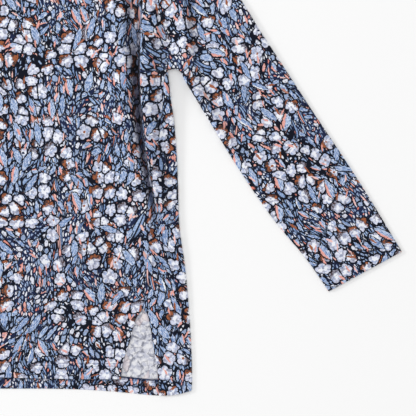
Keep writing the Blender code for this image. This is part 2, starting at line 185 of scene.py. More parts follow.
# The back lies on the surface and can only lift a little: shallow creases of its lower layer
BACK_FOLDS = named_rows(
    FOLD_COLUMNS,
    (1, (70, 96, 110), (600, 480, 330), (0, 0.6, 0), 8, 6),
    (1, (180, 168, 176), (330, 220, 90), (0, 0.5, 0), 7, 7),
    (1, (400, 440, 490), (520, 440, 360), (0, 0.5, 0), 7, 7),
    (-1, (60, 74, 66), (480, 350, 220), (0, 0.6, 0), 8, 7),
    (-1, (190, 176, 180), (560, 430, 300), (0, 0.6, 0), 6, 8),
    (-1, (420, 452, 510), (500, 420, 330), (0, 0.5, 0), 7, 8),
)
# Where the garment stands fuller: a share of extra height round a place
PUFFS = named_rows(
    ("side", "at", "reach", "share"),
    (1, (287, 511), 62, 1.6),
    (1, (350, 425), 58, 0.9),
    (-1, (288, 516), 60, 1.2),
    (-1, (366, 446), 54, 0.6),
)
# The lips of the deep folds lean over them: how far, and over what width, along these lines
LEANS = named_rows(
    ("side", "from_centre", "height", "lean", "width"),
    (1, (244, 243, 243, 247, 253, 263, 280), (700, 610, 525, 447, 390, 330, 250),
     (0, -5, -8, -8, -7, -4, 0), 8.5),
    (-1, (243, 244, 249, 256, 266, 284), (690, 600, 530, 470, 400, 310), (0, -5, -7.5, -7, -5, 0), 8.5),
)
FOLD_REACH = 2.6  # of its own widths, beyond which a fold adds nothing
NO_LIP = -500.0  # distance out from a lip where there is none
SLIT_DROP = 10.0  # how far in from a slit's edge the cloth lies down
SLIT_HEM_RISE = 1.25  # how much higher it lies there over the turned hem
SLIT_HEM_FADE = 12.0
SEAM_DIP = 0.7  # how deep a seam pulls the cloth in
SEAM_WIDTH = 2.0
PRINT_SQUEEZE = 1.6  # how strongly the knit bunches up where it slopes

# ---------------------------------------------------------------- Grid

PITCH = 4.0  # of rows and columns, apart from the fine ones at rolls and seams
ROLL_STEPS = (0.0, 0.1, 0.35, 0.8, 1.6, 2.8, 4.4, TOP_ROLL)
SEAM_STEPS = (0.0, 1.2, 2.8, 5.0)
SHOULDER_COLUMN_AT = 150.0  # plan x, on the underarm row, of the column that runs to the neck point
TURN_ANGLES = tuple(math.radians(a) for a in (0, 36, 72, 108, 144, 180))
HEM_REACH = 60.0  # how far up the rows of a panel still follow its hem
HEM_SHADE = 3.5  # reach of the painted shadow that the front's hem casts on the back
HEM_SHADE_DEPTH = 0.8
HEM_SHADE_PAST_SLIT = 3.0
WRAP_WIDTH = 60.0  # about what the back shows on the front face
HEAD_ROWS = 48  # of a sleeve, from its straight part to the armhole
LINE_POINTS = 40  # of a line that distances are measured from
SIDE_POINTS = 60  # and of the side of the body, which is longer
SAME_PLACE = 0.01  # corners this close are joined


def smooth(table, wanted, key, value):
    """Value at each wanted key, on a smooth curve through the table's points."""
    keys, values = np.array(table[key], float), np.array(table[value], float)
    order = np.argsort(keys)
    keys, values = keys[order], values[order]
    slopes = np.gradient(values, keys)
    wanted = np.clip(np.asarray(wanted, float), keys[0], keys[-1])
    i = np.clip(np.searchsorted(keys, wanted) - 1, 0, len(keys) - 2)
    span = keys[i + 1] - keys[i]
    t = (wanted - keys[i]) / span
    return (
        (1 + 2 * t) * (1 - t) ** 2 * values[i]
        + t * (1 - t) ** 2 * span * slopes[i]
        + t**2 * (3 - 2 * t) * values[i + 1]
        + t**2 * (t - 1) * span * slopes[i + 1]
    )


def edge_at(table, height):
    """Distance from the centre line of an edge of the body at this height."""
    return smooth(table, height, "height", "from_centre")


def hem_at(table, from_centre):
    """Height of a hem at this distance from the centre line, on either side."""
    return smooth(table, np.abs(from_centre), "from_centre", "height")


def points_of(table):
    return np.column_stack([table["from_centre"], table["height"]]).astype(float)


def along(points, distances):
    """Points on a polyline at these distances from its start."""
    steps = np.concatenate([[0], np.cumsum(np.linalg.norm(np.diff(points, axis=0), axis=1))])
    return np.column_stack([np.interp(distances, steps, points[:, k]) for k in (0, 1)])


def length_of(points):
    return float(np.linalg.norm(np.diff(points, axis=0), axis=1).sum())


def rounded(points, per_span=6):
    """The polyline's points with a Catmull-Rom curve between them."""
    padded = np.vstack([2 * points[0] - points[1], points, 2 * points[-1] - points[-2]])
    curve = []
    for a, b, c, d in zip(padded, padded[1:], padded[2:], padded[3:]):
        for t in np.arange(per_span) / per_span:
            square, cube = 2 * a - 5 * b + 4 * c - d, 3 * b - a - 3 * c + d
            curve.append((2 * b + (c - a) * t + square * t**2 + cube * t**3) / 2)
    return np.array([*curve, points[-1]])


def beside(line, x, y):
    """(distance to a line, whether it is on the line's left, how far along the line as a share)."""
    here = np.stack([x, y], -1)[..., None, :]
    start, run = line[:-1], np.diff(line, axis=0)
    t = np.clip(((here - start) * run).sum(-1) / (run * run).sum(-1), 0, 1)
    off = here - (start + t[..., None] * run)
    apart = np.linalg.norm(off, axis=-1)
    nearest = apart.argmin(-1)[..., None]
    turn = run[:, 0] * off[..., 1] - run[:, 1] * off[..., 0]
    apart, turn, t = (np.take_along_axis(a, nearest, -1)[..., 0] for a in (apart, turn, t))
    return apart, turn > 0, (nearest[..., 0] + t) / len(run)


def stations(length, nominal, start=(0.0,), end=(0.0,)):
    """Distances along a length: fine steps at its ends, even ones between, as many as nominal needs."""
    count = max(2, round((nominal - start[-1] - end[-1]) / PITCH))
    middle = np.linspace(start[-1], length - end[-1], count + 1)
    return np.concatenate([start[:-1], middle, length - np.array(end[-2::-1] if len(end) > 1 else [])])


# ---------------------------------------------------------------- Plan of the seams and edges

SLEEVE_UP = np.array([-math.cos(SLEEVE_ANGLE), math.sin(SLEEVE_ANGLE)])  # from the cuff to the shoulder
SLEEVE_OUT = np.array([math.sin(SLEEVE_ANGLE), math.cos(SLEEVE_ANGLE)])  # from the lower edge to the upper


def sleeve_point(from_cuff, across):
    """Plan point of the sleeve. across is from its axis, positive towards the upper edge."""
    tilt = math.tan(CUFF_TILT) * max(0.0, 1 - from_cuff / CUFF_TILT_REACH)
    return np.array(CUFF_MIDDLE) + (from_cuff - across * tilt) * SLEEVE_UP + across * SLEEVE_OUT


def sleeve_edges(from_cuff):
    """Plan points of the lower and the upper edge."""
    lower, upper = (float(smooth(SLEEVE, from_cuff, "from_cuff", side)) for side in ("lower", "upper"))
    return sleeve_point(from_cuff, -lower), sleeve_point(from_cuff, upper)


SLEEVE_ROWS = stations(SLEEVE_STRAIGHT, SLEEVE_STRAIGHT)
HEAD_SHARES = np.linspace(0, 1, HEAD_ROWS)
UNDERARM_SIDE = UNDERARM_SEAM["from_centre"][-1]
UNDERARM_WIDTH = UNDERARM_SIDE - UNDERARM_SEAM["from_centre"][0]
UNDERARM_X = UNDERARM_SIDE - stations(UNDERARM_WIDTH, UNDERARM_WIDTH, ROLL_STEPS, SEAM_STEPS)
UNDERARM_RUN = np.column_stack([UNDERARM_X, smooth(UNDERARM_SEAM, UNDERARM_X, "from_centre", "height")])
ARMHOLE_CURVE = rounded(points_of(ARMHOLE))
ARMHOLE_LENGTH = length_of(ARMHOLE_CURVE)
ARMHOLE_AT = stations(ARMHOLE_LENGTH, ARMHOLE_LENGTH, (0.0, 2.0), ROLL_STEPS)
ARMHOLE_SIDE = along(ARMHOLE_CURVE, ARMHOLE_AT)
ARMHOLE_LINE = np.vstack([UNDERARM_RUN, ARMHOLE_CURVE[1:]])


def head_edge(table):
    """Plan points where the rows of a sleeve's head end, along one of its two folded edges."""
    curve = rounded(points_of(table))
    return along(curve, HEAD_SHARES * length_of(curve))


UNDERARM_POINTS = head_edge(UNDERARM_EDGE)
SHOULDER_POINTS = head_edge(SHOULDER_EDGE)
SIDE_HEIGHTS = np.linspace(SIDE_EDGE["height"][0], UNDERARM_HEIGHT, SIDE_POINTS)
SLEEVE_PAIRS = [sleeve_edges(s) for s in np.linspace(0, SLEEVE_STRAIGHT, LINE_POINTS)]
FOLDED_EDGES = (
    np.column_stack([edge_at(SIDE_EDGE, SIDE_HEIGHTS), SIDE_HEIGHTS]),
    np.array([low for low, _ in SLEEVE_PAIRS]),
    np.array([high for _, high in SLEEVE_PAIRS]),
    UNDERARM_POINTS,
    SHOULDER_POINTS,
    np.array([SHOULDER_POINT, NECK_POINT]),
)
SEAM_HEIGHTS = np.linspace(SLIT_TOP, UNDERARM_HEIGHT, LINE_POINTS)
SEAM_LINES = (ARMHOLE_LINE, np.column_stack([edge_at(SIDE_SEAM, SEAM_HEIGHTS), SEAM_HEIGHTS]))
SLIT_LINES = (points_of(SLIT_FRONT_EDGE), points_of(SLIT_BACK_EDGE))


# ---------------------------------------------------------------- Height of the cloth


def nearest_of(lines, x, y):
    """Distance to the nearest of some lines, which are there on both sides."""
    return np.min([beside(line, np.abs(x), y)[0] for line in lines], axis=0)


def rise_of(folds, x, y):
    """Height that a table's folds add."""
    x, y = np.asarray(x, float), np.asarray(y, float)
    total = np.zeros(x.shape)
    for fold in folds:
        line = rounded(points_of(fold))
        reach = FOLD_REACH * max(fold["inner"], fold["outer"])
        across = x * fold["side"]
        low, high = line.min(0) - reach, line.max(0) + reach
        near = (across > low[0]) & (across < high[0]) & (y > low[1]) & (y < high[1])
        apart, outer, share = beside(line, across[near], y[near])
        height = np.interp(share, np.linspace(0, 1, len(fold["rise"])), fold["rise"])
        total[near] += height * np.exp(-((apart / np.where(outer, fold["outer"], fold["inner"])) ** 2))
    return total


def leaned(x, y):
    """Plan x of the upper layer, where the lips of the folds lean over."""
    x = np.array(x, float)
    for fold in LEANS:
        line = rounded(points_of(fold))
        apart, _, share = beside(line, x * fold["side"], y)
        lean = np.interp(share, np.linspace(0, 1, len(fold["lean"])), fold["lean"])
        x = x + fold["side"] * lean * np.exp(-((apart / fold["width"]) ** 2))
    return x


def beyond_lip(x, y):
    """(how far out from the steep side of a deep fold's lip, how deep the fold is there, from 0 to 1)."""
    out, depth = np.full(np.shape(x), NO_LIP), np.zeros(np.shape(x))
    for fold in LEANS:
        apart, outer, share = beside(rounded(points_of(fold)), x * fold["side"], y)
        here = x * fold["side"] > 0
        deep = np.interp(share, np.linspace(0, 1, len(fold["lean"])), fold["lean"]) / min(fold["lean"])
        out = np.where(here, np.where(outer, apart, -apart) + fold["width"] / math.sqrt(2), out)
        depth = np.where(here, deep, depth)
    return out, depth


def fullness(x, y):
    """How much higher than its general form the garment stands."""
    extra = 1.0
    for puff in PUFFS:
        apart = np.hypot(x * puff["side"] - puff["at"][0], y - puff["at"][1])
        extra = extra + puff["share"] * np.exp(-((apart / puff["reach"]) ** 2))
    return extra


def upper_level(x, y):
    """Height of the middle of the upper layer of cloth, away from the rolls."""
    near_edge = np.exp(-np.maximum(nearest_of(FOLDED_EDGES, x, y) - FOLD_RADIUS, 0) / EDGE_SPREAD)
    inward, up = CUFF_MIDDLE[0] - np.abs(x), y - CUFF_MIDDLE[1]
    from_cuff = inward * math.cos(SLEEVE_ANGLE) + up * math.sin(SLEEVE_ANGLE)
    on_sleeve = np.abs(x) > max(SIDE_EDGE["from_centre"]) + 1
    from_hem = np.where(on_sleeve, from_cuff, y)
    near_hem = np.exp(-np.maximum(from_hem - 2 * HEM_TURN, 0) / HEM_SPREAD)
    grows_from, grows_over = (np.where(on_sleeve, *pair[::-1]) for pair in (EDGE_GROWS_FROM, EDGE_GROWS_OVER))
    high = HEM_LEVEL + (EDGE_LEVEL - HEM_LEVEL) * np.clip((from_hem - grows_from) / grows_over, 0, 1)
    level = REST_LEVEL + (high - REST_LEVEL) * np.maximum(near_edge, near_hem)
    level = level + rise_of(FOLDS, x, y)
    down = REST_LEVEL + SLIT_HEM_RISE * np.exp(-np.maximum(y - HEM_TURN, 0) / SLIT_HEM_FADE)
    drop = np.where(on_sleeve, 0.0, np.exp(-((nearest_of(SLIT_LINES, x, y) / SLIT_DROP) ** 2)))
    level = level + (down - level) * drop
    seam = nearest_of(SEAM_LINES, x, y)
    level = level - SEAM_DIP * np.exp(-((seam / SEAM_WIDTH) ** 2))
    return np.maximum(level, LEAST_LEVEL)


def lift(x, y, upper, inset=0.0):
    """Height of the middle of a wall. inset is how far inside the outer layer it lies."""
    radius = np.where(upper, TOP_ROLL, FOLD_RADIUS) - inset
    share = np.clip((nearest_of(FOLDED_EDGES, x, y) - inset) / radius, 0, 1)
    roll = np.sqrt(np.maximum(0, 1 - (1 - share) ** 2))
    above = upper_level(x, y) * fullness(x, y) - inset
    below = CLOTH / 2 + inset + rise_of(BACK_FOLDS, x, y)
    lie = np.where(upper, above, below)
    start = FOLD_LEVEL + np.where(upper, ROLL_GAP / 2, -ROLL_GAP / 2)
    return start + (lie - start) * roll


# Tables over the plan, one pair for each side: how far the print has shifted outwards, because folds take up
# cloth, and how deep in a crease a place lies, from 0 to 1, which the colour takes as painted shade
FIELD_X = np.arange(0.0, 701.0, 2.0)
FIELD_Y = np.arange(-20.0, 781.0, 8.0)
CREASE_REACH = 11.0  # how far round itself a place is measured against
CREASE_LEAN = 4.0  # and how much more on its inner side, which keeps the light off
CREASE_DEPTH = 2.2  # this far below its surroundings it is fully in the crease


def field_tables(side):
    """(shift of the print, depth in a crease that is painted as shade) over the plan of one side."""
    grid_x, grid_y = np.meshgrid(FIELD_X, FIELD_Y)
    rise = rise_of(FOLDS, grid_x * side, grid_y)
    slope = np.gradient(rise, FIELD_X, axis=1)
    step = FIELD_X[1] - FIELD_X[0]
    taken = np.sqrt(1 + (PRINT_SQUEEZE * slope) ** 2) - 1
    level = np.maximum(REST_LEVEL + rise, LEAST_LEVEL)
    count = round(3 * CREASE_REACH / step)
    weights = np.exp(-(((np.arange(-count, count + 1) * step - CREASE_LEAN) / CREASE_REACH) ** 2))
    padded = np.pad(level, ((0, 0), (count, count)), mode="edge")
    around = np.apply_along_axis(np.convolve, 1, padded, weights / weights.sum(), "valid")
    return np.cumsum(taken, axis=1) * step, np.clip((around - level) / CREASE_DEPTH, 0, 1)


FIELDS = {side: field_tables(side) for side in (1, -1)}


def read_field(which, x, y):
    """Value of a table of the plan at these places."""
    column = np.clip(np.abs(x) / (FIELD_X[1] - FIELD_X[0]), 0, len(FIELD_X) - 1.001)
    row = np.clip((y - FIELD_Y[0]) / (FIELD_Y[1] - FIELD_Y[0]), 0, len(FIELD_Y) - 1.001)
    c, r = column.astype(int), row.astype(int)
    s, t = column - c, row - r

    def between(table):
        lower = table[r, c] * (1 - s) + table[r, c + 1] * s
        upper = table[r + 1, c] * (1 - s) + table[r + 1, c + 1] * s
        return lower * (1 - t) + upper * t

    return np.where(x >= 0, between(FIELDS[1][which]), between(FIELDS[-1][which]))


def spread_out(x, y):
    """Plan x as it would be with the folds smoothed out."""
    return x + np.sign(x) * read_field(0, x, y)


# ---------------------------------------------------------------- Panels
# A sheet is a dict of grids: x, y and z of the wall's middle, u and v of the print, and run and off for the
# stitching, where off is the distance from a turned edge. crease is the painted shade, from 0 to 1: how
# deep in a crease it lies, or on the back, under the front's hem, the painted shadow of that hem. inside is
# 1 on the cloth that is turned up, and lip is the distance out from a deep fold's lip and its depth there.

HEM_STITCH = 23.0
NECK_STITCH = 6.0


def hem_rows():
    """(distance above the hem, inset) of the rows that turn the hem up inside, raw edge first."""
    rows = [(rise, LAYER) for rise in stations(HEM_TURN, HEM_TURN)[:0:-1]]
    rows += [(-LAYER / 2 * math.sin(a), LAYER / 2 * (1 + math.cos(a))) for a in TURN_ANGLES]
    return rows


def both_halves(x, *others):
    """Grids of the right half, from its edge to the centre line, with the left half after it, x negative."""
    return [np.hstack([x, -x[:, -2::-1]]), *(np.hstack([a, a[:, -2::-1]]) for a in others)]


def neck_curve(depth, count):
    """Half of the neck edge, from the neck point to the centre line."""
    turns = np.linspace(math.pi / 2, 0, count)
    return np.column_stack([NECK_POINT[0] * np.sin(turns), NECK_POINT[1] - depth * np.cos(turns)])


def neck_off(x, y, depth):
    """Distance from the neck edge, counted so that its stitching falls where a hem's does."""
    return beside(neck_curve(depth, LINE_POINTS), np.abs(x), y)[0] + HEM_STITCH - NECK_STITCH


def neck_run(x, y):
    """Distance along the neck edge from the centre line."""
    return NECK_POINT[0] * np.arctan2(x, NECK_POINT[1] + 1 - y)


def half_columns():
    """(distances of the underarm row's columns from the side, the armhole's column, the neck point's)."""
    outer = UNDERARM_SIDE - UNDERARM_X
    reach = UNDERARM_SIDE - outer[-1] - SHOULDER_COLUMN_AT
    shoulder = outer[-1] + stations(reach, reach, SEAM_STEPS)[1:]
    neck = shoulder[-1] + stations(SHOULDER_COLUMN_AT, SHOULDER_COLUMN_AT)[1:]
    return np.concatenate([outer, shoulder, neck]), len(outer) - 1, len(outer) + len(shoulder) - 1


COLUMNS, ARMHOLE_COLUMN, NECK_COLUMN = half_columns()


def columns_over(reach):
    """Columns of a half row this wide: fine over the roll or seam, stretched evenly further in."""
    fixed = ROLL_STEPS[-1]
    inner = COLUMNS > fixed
    scale = (reach - fixed) / (COLUMNS[-1] - fixed)
    return np.where(inner, fixed + (COLUMNS - fixed) * scale, COLUMNS)


def underarm_row():
    """Plan points of the row that ends the lower body: along the armhole seams and across the chest."""
    row = np.column_stack([COLUMNS[-1] - COLUMNS, np.full(len(COLUMNS), UNDERARM_HEIGHT)])
    row[: ARMHOLE_COLUMN + 1] = UNDERARM_RUN
    return row


def upper_patch(neck_depth):
    """Plan of the right half of a panel above the underarm, a row for each step up the armhole."""
    bottom = underarm_row()[ARMHOLE_COLUMN:]
    columns = COLUMNS[ARMHOLE_COLUMN:]
    columns = (columns - columns[0]) / (columns[-1] - columns[0])
    shoulder, neck = np.array(SHOULDER_POINT), np.array(NECK_POINT)
    count = NECK_COLUMN - ARMHOLE_COLUMN
    top = np.vstack(
        [
            shoulder + np.linspace(0, 1, count + 1)[:-1, None] * (neck - shoulder),
            neck_curve(neck_depth, len(COLUMNS) - NECK_COLUMN),
        ]
    )
    u, v = columns[None, :, None], (ARMHOLE_AT / ARMHOLE_LENGTH)[:, None, None]
    left = np.column_stack(
        [np.zeros(len(ARMHOLE_AT)), bottom[-1, 1] + v[:, 0, 0] * (top[-1, 1] - bottom[-1, 1])]
    )
    across = (1 - u) * ARMHOLE_SIDE[:, None, :] + u * left[:, None, :]
    up = (1 - v) * bottom[None] + v * top[None]
    corners = (1 - u) * ((1 - v) * bottom[0] + v * top[0]) + u * ((1 - v) * bottom[-1] + v * top[-1])
    plan = across + up - corners
    return plan[..., 0], plan[..., 1]


def neck_turn(neck_depth, upper):
    """The neck edge turned under: from the edge, over its fold, to the raw edge inside."""
    edge = neck_curve(neck_depth, len(COLUMNS) - NECK_COLUMN)
    run = np.gradient(edge, axis=0)
    run /= np.linalg.norm(run, axis=1)[:, None]
    inward = np.column_stack([-run[:, 1], run[:, 0]])  # away from the opening
    turn = [(LAYER / 2 * math.sin(a), LAYER / 2 * (1 - math.cos(a))) for a in TURN_ANGLES]
    turn += [(-d, LAYER) for d in stations(NECK_TURN, NECK_TURN)[1:]]
    x = np.array([edge[:, 0] - out * inward[:, 0] for out, _ in turn])
    y = np.array([edge[:, 1] - out * inward[:, 1] for out, _ in turn])
    x[:, -1] = 0.0
    x, y = both_halves(x, y)
    down = np.array([drop for _, drop in turn])[:, None]
    flat = np.broadcast_to(np.array([max(0.0, -out) for out, _ in turn])[:, None], x.shape)
    z = lift(x[:1], y[:1], upper) + (-down if upper else down)
    return {
        "x": x, "y": y, "z": z, "u": x, "v": y + 2 * flat,
        "run": neck_run(x, y), "off": flat + HEM_STITCH - NECK_STITCH,
    }  # fmt: skip


def front_panel():
    """Sheets of the front: below the underarm, above it, and the turned neck edge."""
    rows = []  # x, y, inset, v and off of each
    low = FRONT_HEM["height"][-1]
    for rise, inset in hem_rows():
        edge = float(edge_at(SLIT_FRONT_EDGE, low + max(rise, 0)))
        xs = edge - columns_over(edge)
        hem = hem_at(FRONT_HEM, xs)
        rows.append((xs, hem + rise, np.full(len(xs), inset), hem - rise, np.full(len(xs), abs(rise))))
    for height in (low + stations(UNDERARM_HEIGHT - low, UNDERARM_HEIGHT - low))[1:-1]:
        table = SLIT_FRONT_EDGE if height < SLIT_TOP else SIDE_SEAM
        edge = float(edge_at(table, height)) - SEAM_GAP / 2
        xs = edge - columns_over(edge)
        settle = math.exp(-(((height - low) / HEM_REACH) ** 2))
        ys = height + (hem_at(FRONT_HEM, xs) - low) * settle
        rows.append((xs, ys, np.zeros(len(xs)), ys, ys - hem_at(FRONT_HEM, xs)))
    xs, ys = underarm_row().T
    rows.append((xs, ys, np.zeros(len(xs)), ys, ys - low))
    x, y, inset, v, off = both_halves(*(np.array(column) for column in zip(*rows)))
    lower = {
        "x": leaned(x, y), "y": y, "z": lift(x, y, True, inset), "u": spread_out(x, y), "v": v,
        "run": x, "off": off, "crease": read_field(1, x, y), "inside": inset > 0, "lip": beyond_lip(x, y),
    }  # fmt: skip
    x, y = both_halves(*upper_patch(FRONT_NECK_DEPTH))
    above = {
        "x": leaned(x, y), "y": y, "z": lift(x, y, True), "u": spread_out(x, y), "v": y,
        "run": neck_run(x, y), "off": neck_off(x, y, FRONT_NECK_DEPTH), "crease": read_field(1, x, y),
        "lip": beyond_lip(x, y),
    }  # fmt: skip
    return [lower, above, neck_turn(FRONT_NECK_DEPTH, True)]


def back_columns(height, edge, inset):
    """Half a row of the back, from its edge on the front face, round the fold, to the centre line."""
    tip = float(edge_at(SIDE_EDGE, height)) - inset
    reach = tip - edge
    rolled = min(TOP_ROLL, reach / 2)
    from_tip = WRAP_WIDTH - stations(WRAP_WIDTH, WRAP_WIDTH, SEAM_STEPS, ROLL_STEPS)[:-1]
    share = (from_tip - TOP_ROLL) / (WRAP_WIDTH - TOP_ROLL)
    over = tip - np.where(share > 0, rolled + share * (reach - rolled), from_tip * rolled / TOP_ROLL)
    return np.concatenate([over, tip - columns_over(tip)]), len(over), tip


def back_panel():
    """Sheets of the back, which rolls round both sides onto the front face."""
    rows = []  # x, y, inset, v and off of each, and x of its folded edge
    low = BACK_HEM["height"][-1]
    for rise, inset in hem_rows():
        height = max(rise, BACK_HEM_LOW)
        xs, wrapped, tip = back_columns(height, float(edge_at(SLIT_BACK_EDGE, height)), inset)
        hem = hem_at(BACK_HEM, xs)
        rows.append((xs, hem + rise, inset, hem - rise, np.full(len(xs), abs(rise)), tip))
    for height in stations(UNDERARM_HEIGHT, UNDERARM_HEIGHT)[1:-1]:
        table = SLIT_BACK_EDGE if height < SLIT_TOP else SIDE_SEAM
        xs, wrapped, tip = back_columns(height, float(edge_at(table, height)) + SEAM_GAP / 2, 0.0)
        settle = math.exp(-((height / HEM_REACH) ** 2))
        hem = hem_at(BACK_HEM, xs)
        ys = height + hem * settle
        rows.append((xs, ys, 0.0, ys, ys - hem, tip))
    underarm = underarm_row()
    underarm = np.vstack([np.tile(underarm[0], (wrapped, 1)), underarm])
    xs, ys = underarm.T
    rows.append((xs, ys, 0.0, ys, ys - low, xs[0]))
    x, y, inset, v, off, tip = (np.array(column) for column in zip(*rows))
    x, y, v, off = both_halves(x, y, v, off)
    inset, tip = inset[:, None], tip[:, None]
    over = np.arange(len(xs)) < wrapped
    over = np.hstack([over, over[-2::-1]])[None]
    tips = tip * np.sign(x)
    u = np.where(over, tips + spread_out(tips, y) - spread_out(x, y), x)
    z = lift(x, y, over, inset)
    lip, depth = beyond_lip(x, y)
    # painted shadow that the front's hem casts on the back, kept in the back's crease grid
    below_front = hem_at(FRONT_HEM, x) - y
    under_hem = np.exp(-((below_front / HEM_SHADE) ** 2)) * (below_front > -HEM_SHADE)
    under_hem = HEM_SHADE_DEPTH * under_hem * (np.abs(x) < FRONT_HEM["from_centre"][-1] + HEM_SHADE_PAST_SLIT)
    lower = {
        "x": np.where(over, leaned(x, y), x), "y": y, "z": z, "u": u, "v": v, "run": u, "off": off,
        "crease": np.where(over, read_field(1, x, y), under_hem), "inside": inset > 0,
        "lip": (np.where(over, lip, NO_LIP), depth),
    }  # fmt: skip
    x, y = both_halves(*upper_patch(BACK_NECK_DEPTH))
    above = {
        "x": x, "y": y, "z": lift(x, y, False), "u": x, "v": y,
        "run": neck_run(x, y), "off": neck_off(x, y, BACK_NECK_DEPTH),
    }  # fmt: skip
    return [lower, above, neck_turn(BACK_NECK_DEPTH, False)]


def sleeve_tube(side):
    """The one sheet of a sleeve: rings over its upper layer and back along its lower one."""
    width = length_of(np.array(sleeve_edges(SLEEVE_STRAIGHT)))
    section = stations(width, width, ROLL_STEPS, ROLL_STEPS) / width
    loop_length = length_of(ARMHOLE_LINE)
    loop = stations(loop_length, width, ROLL_STEPS, ROLL_STEPS)
    seam = along(ARMHOLE_LINE, loop)
    run = np.gradient(seam, axis=0)
    run /= np.linalg.norm(run, axis=1)[:, None]
    seam = seam + SEAM_GAP * np.column_stack([run[:, 1], -run[:, 0]])
    plans = []  # points, inset and distance from the cuff of each ring
    for from_cuff, inset in [*hem_rows(), *((s, 0.0) for s in SLEEVE_ROWS[1:])]:
        low, high = sleeve_edges(from_cuff)
        shares = inset / width + section * (1 - 2 * inset / width)
        plans.append((low + shares[:, None] * (high - low), inset, from_cuff))
    low, high = UNDERARM_POINTS, SHOULDER_POINTS
    for k, v in list(enumerate(HEAD_SHARES))[1:]:
        shares = (section * (1 - v) + loop / loop_length * v)[:, None]
        across = low[k] + shares * (high[k] - low[k])
        end = low[-1] + shares * (high[-1] - low[-1])
        plans.append((across + v * (seam - end), 0.0, SLEEVE_STRAIGHT))
    plan, inset, from_cuff = (np.array(column) for column in zip(*plans))
    inset, from_cuff = inset[:, None], from_cuff[:, None]
    x, y = plan[..., 0] * side, plan[..., 1]
    over, under = lift(x, y, True, inset), lift(x, y, False, inset)
    over[:, [0, -1]] = FOLD_LEVEL
    from_middle = np.stack([np.abs(spread_out(x, y)), y], -1) - np.array(CUFF_MIDDLE)
    flat_middle = plan - np.array(CUFF_MIDDLE)
    lay, lay_under = from_middle @ SLEEVE_OUT, flat_middle @ SLEEVE_OUT
    lengthwise = flat_middle @ SLEEVE_UP
    turned_in = (inset > 0) & (from_cuff > 0)

    def ring(above, below):
        return np.hstack([above, below[:, -2::-1]])

    around = ring(lay, lay[:, -1:] + lay_under[:, -1:] - lay_under)
    lengthwise = ring(lengthwise, lengthwise)
    return [
        {
            "x": ring(np.where(over > FOLD_LEVEL, leaned(x, y), x), x),
            "y": ring(y, y), "z": ring(over, under), "u": around,
            "v": np.where(turned_in, -lengthwise, lengthwise), "run": around, "off": np.abs(lengthwise),
            "crease": ring(read_field(1, x, y), np.zeros(x.shape)), "inside": inset > 0,
        }
    ]  # fmt: skip


# ---------------------------------------------------------------- Meshes


def in_rows(*grids):
    """A row for each place, with each grid's value there."""
    return np.stack(grids, -1).reshape(-1, len(grids))


def cloth_piece(name, sheets, flip, shift, materials):
    """A thin shell of cloth. Its right side has the first material and its wrong side the second."""
    corners, faces = [], []
    layers = {"Print": [], "Stitching": [], "Crease": [], "Lip": []}
    start = 0
    for s in sheets:
        rows, columns = s["x"].shape
        s = {"crease": 0.0, "inside": 0.0, **s}
        s["out"], s["deep"] = s.pop("lip", (NO_LIP, 0.0))
        s = {key: np.broadcast_to(value, (rows, columns)) for key, value in s.items()}
        corners.append(in_rows(s["x"] * MM, (s["y"] - Y_CENTRE) * MM, s["z"] * MM))
        index = start + np.arange(rows * columns).reshape(rows, columns)
        quads = in_rows(index[:-1, :-1], index[:-1, 1:], index[1:, 1:], index[1:, :-1])
        faces.append(quads[:, ::-1] if flip else quads)
        layers["Print"].append(in_rows((s["u"] + shift[0]) * MM, (s["v"] + shift[1]) * MM))
        layers["Stitching"].append(in_rows(s["run"] * MM, s["off"] * MM))
        # the Crease map carries the painted shade and whether the cloth is turned up
        layers["Crease"].append(in_rows(s["crease"], s["inside"]))
        layers["Lip"].append(in_rows(s["out"] * MM, s["deep"]))
        start += rows * columns
    corners, faces = np.vstack(corners), np.vstack(faces)
    mesh = bpy.data.meshes.new(name)
    mesh.from_pydata(corners.tolist(), [], faces.tolist())
    used = faces.reshape(-1)
    for layer, values in layers.items():
        flat = np.vstack(values)[used].astype(np.float32).ravel()
        mesh.uv_layers.new(name=layer).data.foreach_set("uv", flat)
    shell = bmesh.new()
    shell.from_mesh(mesh)
    bmesh.ops.remove_doubles(shell, verts=shell.verts, dist=SAME_PLACE * MM)
    shell.to_mesh(mesh)
    shell.free()
    mesh.shade_smooth()
    for material in materials:
        mesh.materials.append(material)
    piece = bpy.data.objects.new(name, mesh)
    bpy.context.scene.collection.objects.link(piece)
    wall = piece.modifiers.new("Cloth wall", "SOLIDIFY")
    wall.thickness = CLOTH * MM
    wall.offset = 0
    wall.material_offset = 1
    bpy.context.view_layer.objects.active = piece
    piece.select_set(True)
    bpy.ops.object.modifier_apply(modifier=wall.name)
    piece.select_set(False)
    return piece


# ---------------------------------------------------------------- Materials


def srgb(red, green, blue):
    """A linear colour from the three numbers, 0 to 255, of an sRGB one."""
    shares = [c / 255 for c in (red, green, blue)]
    return (*(s / 12.92 if s <= 0.04045 else ((s + 0.055) / 1.055) ** 2.4 for s in shares), 1.0)


